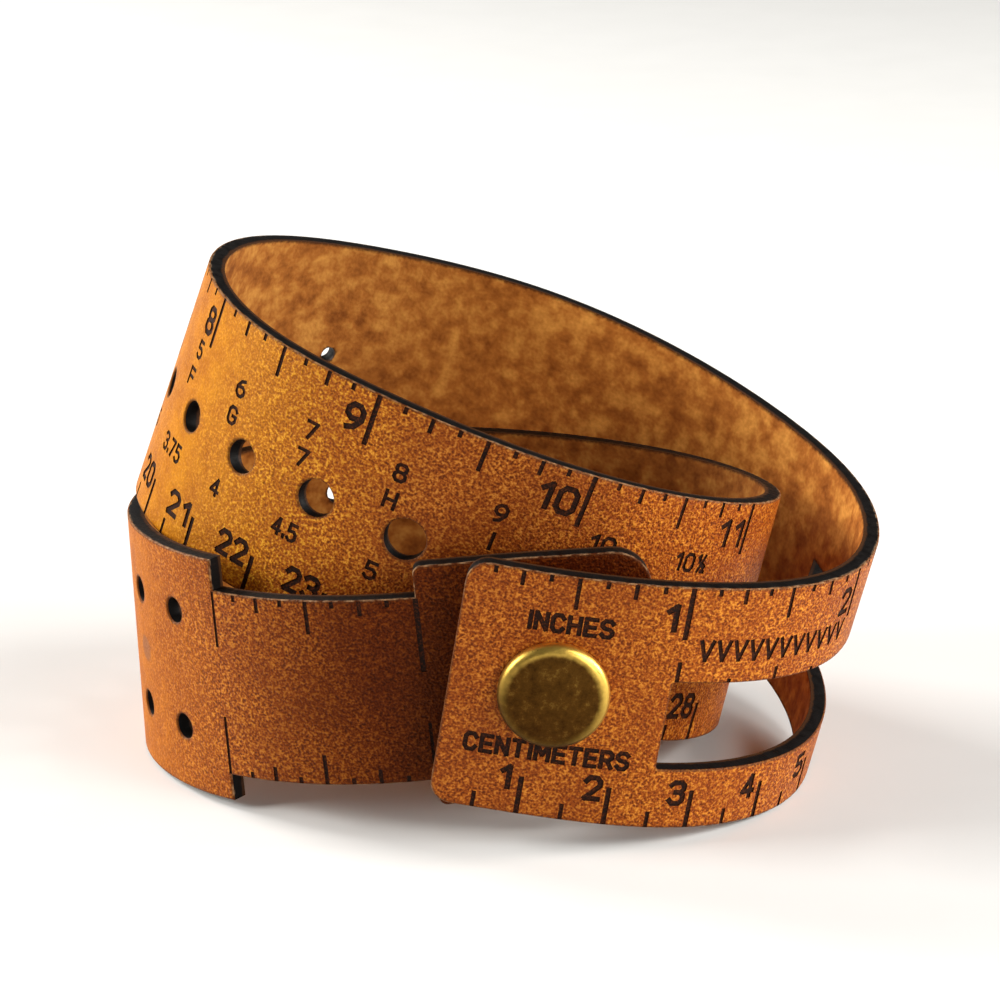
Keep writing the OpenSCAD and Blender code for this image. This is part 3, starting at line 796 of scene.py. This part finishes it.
# =====================================================================================
# Materials
# =====================================================================================
class Shade:
    """A material's nodes. Sockets, numbers and colours are all given to a node's inputs the same way."""

    def __init__(self, name, **surface):
        self.material = bpy.data.materials.new(name)
        self.material.use_nodes = True
        self.nodes = self.material.node_tree.nodes
        self.links = self.material.node_tree.links
        self.surface = self.nodes["Principled BSDF"]
        for name, value in surface.items():
            self.set(self.surface, {name.replace("_", " ").title().replace("Ior", "IOR"): value})

    def set(self, node, inputs):
        for key, value in inputs.items():
            socket = node.inputs[key]
            if isinstance(value, bpy.types.NodeSocket):
                self.links.new(value, socket)
            elif socket.type == "RGBA":
                socket.default_value = (*value, 1.0)
            else:
                socket.default_value = value

    def node(self, kind, inputs, output=0, **settings):
        made = self.nodes.new("ShaderNode" + kind)
        for key, value in settings.items():
            setattr(made, key, value)
        self.set(made, inputs)
        return made.outputs[output]

    def attribute(self, name, output="Vector"):
        return self.node("Attribute", {}, output, attribute_name=name)

    def noise(self, place, scale, detail=2.0, roughness=0.5):
        inputs = {"Vector": place, "Scale": scale, "Detail": detail, "Roughness": roughness}
        return self.node("TexNoise", inputs, "Fac")

    def cells(self, place, scale):
        return self.node("TexVoronoi", {"Vector": place, "Scale": scale}, "Distance", feature="SMOOTH_F1")

    def math(self, operation, *values):
        return self.node("Math", dict(enumerate(values)), operation=operation)

    def times(self, a, b):
        return self.math("MULTIPLY", a, b)

    def plus(self, a, b):
        return self.math("ADD", a, b)

    def swing(self, noise, amount):
        """The noise moved so that it swings evenly round 0, times the amount."""
        return self.times(self.math("SUBTRACT", noise, 0.5), amount)

    def range(self, value, low, high, to_low=0.0, to_high=1.0, smooth=False):
        inputs = {"Value": value, 1: low, 2: high, 3: to_low, 4: to_high}
        return self.node("MapRange", inputs, interpolation_type="SMOOTHSTEP" if smooth else "LINEAR")

    def stretch(self, along, fade_in, full_from, full_to, fade_out):
        """1 over a stretch of the strap, falling to 0 at both of its ends."""
        return self.times(self.range(along, fade_in, full_from), self.range(along, fade_out, full_to))

    def mix(self, factor, a, b, blend_type="MIX"):
        inputs = {0: factor, 6: a, 7: b}
        return self.node("Mix", inputs, 2, data_type="RGBA", blend_type=blend_type)

    def ramp(self, value, stops):
        made = self.nodes.new("ShaderNodeValToRGB")
        self.links.new(value, made.inputs[0])
        ramp = made.color_ramp
        while len(ramp.elements) < len(stops):
            ramp.elements.new(0.5)
        for element, (place, colour) in zip(ramp.elements, stops):
            element.position, element.color = place, (*colour, 1.0)
        return made.outputs[0]

    def bump(self, height, strength, distance, below=None):
        inputs = {"Height": height, "Strength": strength, "Distance": distance}
        if below is not None:
            inputs["Normal"] = below
        return self.node("Bump", inputs, "Normal")


def grain_leather():
    """Tan grain side: fine raised grain with dark pits, worn smooth over two stretches, with painted light
    and shade along the strap, the flap's shadow painted over the tab, and a painted highlight on the outer
    edges.
    """
    m = Shade("grain_leather", specular_tint=(1.0, 0.66, 0.30))
    flat = m.attribute("flat")
    along = m.node("SeparateXYZ", {"Vector": flat}, "X")
    pebble = m.cells(flat, 3.0)
    fine = m.noise(flat, 3.9)
    coarse = m.noise(flat, 1.0)
    cloud = m.noise(flat, 0.10, 3.0, 0.55)
    patch = m.noise(flat, 0.35)

    # Raised grain and pits, with duller patches and clouds
    speck = m.plus(m.plus(m.times(pebble, 0.55), m.times(fine, 0.8)), m.swing(coarse, 0.12))
    tone = m.ramp(
        m.range(speck, 0.44, 0.84),
        [
            (0.0, (0.095, 0.014, 0.001)),
            (0.35, (0.25, 0.046, 0.0028)),
            (0.6, (0.38, 0.090, 0.006)),
            (1.0, (0.68, 0.25, 0.025)),
        ],
    )
    muted = m.mix(m.range(patch, 0.35, 0.7, 0.0, 0.22), tone, (0.20, 0.029, 0.002))
    clouded = m.mix(m.range(cloud, 0.40, 0.68, 0.0, 0.40), muted, (0.19, 0.028, 0.002))

    # Stretches that are worn smooth, and painted light and shade: brighter and golden, darker, and the
    # flap's shadow over the tab
    worn = m.plus(m.stretch(along, *WORN_SECOND_TURN), m.stretch(along, *WORN_THIRD_TURN))
    plain = m.ramp(patch, [(0.3, (0.34, 0.085, 0.001)), (0.7, (0.50, 0.150, 0.002))])
    colour = m.mix(m.times(worn, 0.75), clouded, plain)
    # Painted sunlight brightens and yellows the second turn's left
    colour = m.mix(m.stretch(along, *PAINTED_SUNLIGHT), colour, (1.16, 1.50, 1.05), "MULTIPLY")
    # Painted shade darkens the second turn near its ten-inch mark
    colour = m.mix(m.stretch(along, *PAINTED_SHADE_STRETCH), colour, (0.82, 0.82, 1.1), "MULTIPLY")
    # Painted shade on the flap's free end
    colour = m.mix(m.range(along, *SHADED_FLAP_END), colour, (0.84, 0.78, 0.90), "MULTIPLY")
    # The flap's shadow, painted dark over the end of the wraps stretch and the tab, with less sheen
    flap_shadow = m.range(m.plus(along, m.times(cloud, 6.0)), *FLAP_SHADOW_STRETCH, smooth=True)
    colour = m.mix(flap_shadow, colour, (0.25, 0.15, 0.14), "MULTIPLY")
    from_stain = m.node("VectorMath", {0: flat, 1: STAIN}, "Value", operation="DISTANCE")
    stain = m.range(m.plus(from_stain, m.swing(coarse, 0.8)), 1.3, 1.9, 0.55, 0.0, smooth=True)
    colour = m.mix(stain, colour, (0.16, 0.07, 0.04))

    # Scorched along every cut, and a painted highlight: a pale line along the rounded outer edges
    edge = m.attribute("edge", "Fac")
    scorch = m.range(m.plus(edge, m.swing(fine, 0.3)), 0.05, 0.42, 0.75, 0.0, smooth=True)
    colour = m.mix(scorch, colour, (0.06, 0.014, 0.004))
    edge_highlight = m.times(m.range(edge, 0.06, 0.15, 1.0, 0.0), m.range(coarse, 0.42, 0.66, 0.0, 0.5))
    colour = m.mix(m.times(edge_highlight, outer_border(m, flat)), colour, (0.50, 0.30, 0.15))

    shine = m.math("SUBTRACT", m.range(flap_shadow, 0.0, 1.0, 0.32, 0.14), m.times(worn, 0.2))
    depth = m.range(worn, 0.0, 1.0, 1.0, 0.3)
    grain = m.bump(speck, depth, 0.00015, m.bump(patch, 0.3, 0.0004))
    m.set(m.surface, {"Base Color": colour, "Roughness": m.range(fine, 0.3, 0.7, 0.62, 0.44)})
    m.set(m.surface, {"Specular IOR Level": shine, "Normal": grain})
    return m.material


def outer_border(m, flat):
    """1 near the strap's two long edges and its notches, 0 over its middle with holes and window."""
    across = m.node("SeparateXYZ", {"Vector": flat}, "Y")
    off_middle = m.math("ABSOLUTE", m.math("SUBTRACT", across, MIDDLE))
    return m.range(off_middle, *OUTER_BORDER)


def flesh_leather():
    """Suede flesh side: soft golden-brown patches under a short nap, with painted shade darkening it past
    the first turn's back.
    """
    m = Shade("flesh_leather", specular_ior_level=0.12, specular_tint=(1.0, 0.7, 0.4))
    m.set(m.surface, {"Sheen Weight": 0.03, "Sheen Roughness": 0.5})
    flat = m.attribute("flat")
    along = m.node("SeparateXYZ", {"Vector": flat}, "X")
    blotch = m.noise(flat, 0.55, 2.0, 0.45)
    patch = m.noise(flat, 0.16)
    nap = m.noise(flat, 2.2, 3.0, 0.6)
    value = m.plus(m.plus(m.times(blotch, 0.75), m.times(patch, 0.45)), m.swing(nap, 0.15))
    tone = m.ramp(
        m.range(value, 0.38, 0.84),
        [(0.0, (0.26, 0.073, 0.011)), (0.45, (0.47, 0.158, 0.026)), (1.0, (0.78, 0.35, 0.067))],
    )
    # Painted shade past the first turn's back
    tone = m.mix(m.range(along, *SHADED_FLESH, smooth=True), tone, (0.64, 0.64, 0.68), "MULTIPLY")
    edge = m.attribute("edge", "Fac")
    scorch = m.range(m.plus(edge, m.times(nap, 0.5)), 0.2, 0.75, 0.9, 0.0, smooth=True)
    colour = m.mix(scorch, tone, (0.03, 0.012, 0.006))
    m.set(m.surface, {"Base Color": colour, "Roughness": m.range(nap, 0.3, 0.7, 0.98, 0.86)})
    m.set(m.surface, {"Normal": m.bump(nap, 0.5, 0.0001, m.bump(blotch, 0.3, 0.0004))})
    return m.material


def burnt_edge():
    """Laser-cut wall: charred black, with a painted highlight as a faint pale line along its grain side,
    and brown by the flesh.
    """
    m = Shade("burnt_edge", specular_ior_level=0.14)
    flat = m.attribute("flat")
    rise = m.node("SeparateXYZ", {"Vector": flat}, "Z")
    squeezed = m.node("VectorMath", {0: flat, 1: (3.0, 3.0, 0.9)}, operation="MULTIPLY")
    fibre = m.noise(squeezed, 1.0, 4.0, 0.65)
    char = m.noise(flat, 0.8, 3.0, 0.6)
    black = m.ramp(
        m.plus(m.times(fibre, 0.6), m.times(char, 0.4)),
        [(0.3, (0.0015, 0.001, 0.0008)), (0.6, (0.004, 0.0025, 0.002)), (0.8, (0.024, 0.012, 0.008))],
    )
    level = m.plus(rise, m.swing(char, 0.5))
    brown = m.mix(m.range(level, -0.75, -0.45, 0.85, 0.0, smooth=True), black, (0.06, 0.022, 0.007))
    # Painted highlight: a pale line along the wall's grain side, on the outer border only
    line = m.times(m.range(rise, 0.60, 0.72), m.range(char, 0.46, 0.70, 0.0, 0.5))
    colour = m.mix(m.times(line, outer_border(m, flat)), brown, (0.45, 0.28, 0.16))
    m.set(m.surface, {"Base Color": colour, "Roughness": m.range(char, 0.3, 0.7, 0.45, 0.8)})
    m.set(m.surface, {"Normal": m.bump(fibre, 0.6, 0.0001)})
    return m.material


def burnt_mark():
    """Floor of an engraved mark: dark red-brown char with a little of the leather showing through."""
    m = Shade("burnt_mark", specular_ior_level=0.12)
    flat = m.attribute("flat")
    fine = m.noise(flat, 4.0, 3.0, 0.65)
    colour = m.ramp(
        fine,
        [(0.3, (0.005, 0.002, 0.001)), (0.5, (0.017, 0.005, 0.002)), (0.75, (0.10, 0.022, 0.005))],
    )
    m.set(m.surface, {"Base Color": colour, "Roughness": m.range(fine, 0.3, 0.7, 0.6, 0.85)})
    m.set(m.surface, {"Normal": m.bump(fine, 0.5, 0.0001)})
    return m.material


def old_brass():
    """Antique brass: dark olive patina on flat faces, a rim worn bright that a painted reflection keeps to
    its upper right, and painted shade towards the lower left.
    """
    m = Shade("old_brass", metallic=1.0)
    # The side where the painted reflection brightens the rim; painted shade falls on the other side
    lit_side = Vector((0.55, 0.0, 0.83))  # up and to the right, seen from the front
    middle = Vector((SNAP_ZERO + SNAP_AXIS * (SNAP_GAP + LEATHER)) * MM) @ lit_side
    turned = m.attribute("turned")
    radius = m.node("SeparateXYZ", {"Vector": turned}, "X")
    place = m.node("TexCoord", {}, "Object")
    stain = m.noise(place, 900.0, 4.0, 0.6)
    speck = m.noise(place, 5200.0, 3.0, 0.65)
    patina = m.ramp(
        m.plus(m.times(stain, 0.7), m.times(speck, 0.3)),
        [(0.3, (0.036, 0.015, 0.003)), (0.55, (0.090, 0.040, 0.007)), (0.72, (0.22, 0.12, 0.022))],
    )
    side = m.node("VectorMath", {0: place, 1: lit_side}, "Value", operation="DOT_PRODUCT")
    rim = m.range(m.plus(radius, m.times(stain, 0.6)), 5.2, 6.5, smooth=True)
    # Wear on the rim, kept to the upper right by a painted reflection
    worn = m.times(rim, m.range(side, middle - 4 * MM, middle + 4 * MM, 0.06, 1.0))
    # Painted shade: the cap darker towards the lower left
    shade_side = m.range(side, middle + 5 * MM, middle - 5 * MM)
    shaded = m.mix(shade_side, patina, (0.68, 0.62, 0.62), "MULTIPLY")
    m.set(m.surface, {"Base Color": m.mix(worn, shaded, (0.88, 0.57, 0.11))})
    rough = m.range(speck, 0.3, 0.7, 0.34, 0.52)
    m.set(m.surface, {"Roughness": m.math("SUBTRACT", rough, m.times(worn, 0.08))})
    m.set(m.surface, {"Normal": m.bump(speck, 0.15, 0.00004, m.bump(stain, 0.2, 0.0001))})
    return m.material


def plain_brass():
    """The snap's hidden pieces: the same brass with less patina."""
    m = Shade("plain_brass", metallic=1.0)
    place = m.node("TexCoord", {}, "Object")
    stain = m.noise(place, 700.0, 4.0, 0.6)
    speck = m.noise(place, 5200.0, 3.0, 0.65)
    tone = m.ramp(
        stain,
        [(0.3, (0.22, 0.15, 0.045)), (0.6, (0.42, 0.30, 0.095)), (0.8, (0.58, 0.43, 0.15))],
    )
    m.set(m.surface, {"Base Color": tone, "Roughness": m.range(speck, 0.3, 0.7, 0.28, 0.46)})
    m.set(m.surface, {"Normal": m.bump(speck, 0.15, 0.00004)})
    return m.material


def spring_wire():
    """Drawn steel wire."""
    m = Shade("spring_wire", metallic=1.0)
    place = m.node("TexCoord", {}, "Object")
    drawn = m.noise(place, 4000.0, 3.0, 0.6)
    tone = m.ramp(drawn, [(0.3, (0.34, 0.33, 0.31)), (0.7, (0.62, 0.61, 0.58))])
    m.set(m.surface, {"Base Color": tone, "Roughness": m.range(drawn, 0.3, 0.7, 0.22, 0.4)})
    return m.material


# =====================================================================================
# Camera, light and floor
# =====================================================================================
def aim(thing, at):
    """Turns a camera or a lamp towards a point."""
    thing.rotation_mode = "QUATERNION"
    thing.rotation_quaternion = (Vector(at) - thing.location).to_track_quat("-Z", "Y")


def around(centre, azimuth, elevation, distance):
    """A place round the centre. Azimuth 0 is in front, at -Y, and 90 on the +X side."""
    a, e = math.radians(azimuth), math.radians(elevation)
    return centre + distance * Vector((math.sin(a) * math.cos(e), -math.cos(a) * math.cos(e), math.sin(e)))


def make_camera(centre):
    data = bpy.data.cameras.new("camera")
    data.lens, data.sensor_width = CAMERA_LENS, CAMERA_SENSOR
    data.clip_start, data.clip_end = 0.01, 10.0
    camera = place_in_scene("camera", data)
    camera.location = around(centre, 0, CAMERA_ELEVATION, CAMERA_DISTANCE)
    aim(camera, centre)
    bpy.context.scene.camera = camera


def make_lamp(centre, name, azimuth, elevation, power, colour):
    data = bpy.data.lights.new(name, "AREA")
    data.shape, data.size, data.size_y = "RECTANGLE", LAMP_SIZE, LAMP_SIZE
    data.energy, data.color = power, colour
    lamp = place_in_scene(name, data)
    lamp.location = around(centre, azimuth, elevation, LAMP_DISTANCE)
    aim(lamp, centre)


def make_studio(centre):
    """White surroundings, the lamps and a pale paper floor."""
    world = bpy.data.worlds.new("studio")
    world.use_nodes = True
    background = world.node_tree.nodes["Background"]
    background.inputs["Color"].default_value = (*SKY, 1.0)
    background.inputs["Strength"].default_value = SKY_STRENGTH
    bpy.context.scene.world = world
    bpy.context.scene.view_settings.view_transform = "Standard"
    for lamp in LAMPS:
        make_lamp(centre, *lamp)

    far = FLOOR_REACH
    floor_mesh = bpy.data.meshes.new("floor")
    corners = [(-far, -far, 0), (far, -far, 0), (far, far, 0), (-far, far, 0)]
    floor_mesh.from_pydata(corners, [], [(0, 1, 2, 3)])
    floor = place_in_scene("floor", floor_mesh)
    paper = Shade("paper", roughness=0.9)
    grain = paper.noise(paper.node("TexCoord", {}, "Object"), 60.0)
    tone = paper.ramp(grain, [(0.0, (0.80, 0.80, 0.79)), (1.0, (0.84, 0.84, 0.83))])
    paper.set(paper.surface, {"Base Color": tone})
    floor_mesh.materials.append(paper.material)


# =====================================================================================
# The build
# =====================================================================================
look_at = (cad_box[0] + cad_box[1]) / 2 + Vector((-0.08, -0.2, 0.85)) * MM
make_camera(look_at)
make_studio(look_at)

leathers = [grain_leather(), flesh_leather(), burnt_edge(), burnt_mark()]
flap, coil = strap_pieces()
for piece in (flap, coil):
    for material in leathers:
        piece.data.materials.append(material)
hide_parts("strap_flap", "strap_bend")
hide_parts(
    "strap_outer_turn", "strap_small_needles", "strap_needle_gauge", "strap_inner_turn",
    "strap_row_counter", "strap_wraps_gauge", "strap_tab",
)
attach(coil, "coil")
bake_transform(flap)

cap = lathe("snap_cap", cap_profile(), SNAP_GAP + LEATHER)
cap.data.materials.append(old_brass())
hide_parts("cap_shell")
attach(cap, "flap")

brass, wire = plain_brass(), spring_wire()
hidden = {name: brass for name in ("cap_post", "socket_body", "socket_ring", "stud_body", "stud_post")}
hidden["socket_spring"] = wire
for name, material in hidden.items():
    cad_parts[name].data.materials.clear()
    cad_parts[name].data.materials.append(material)
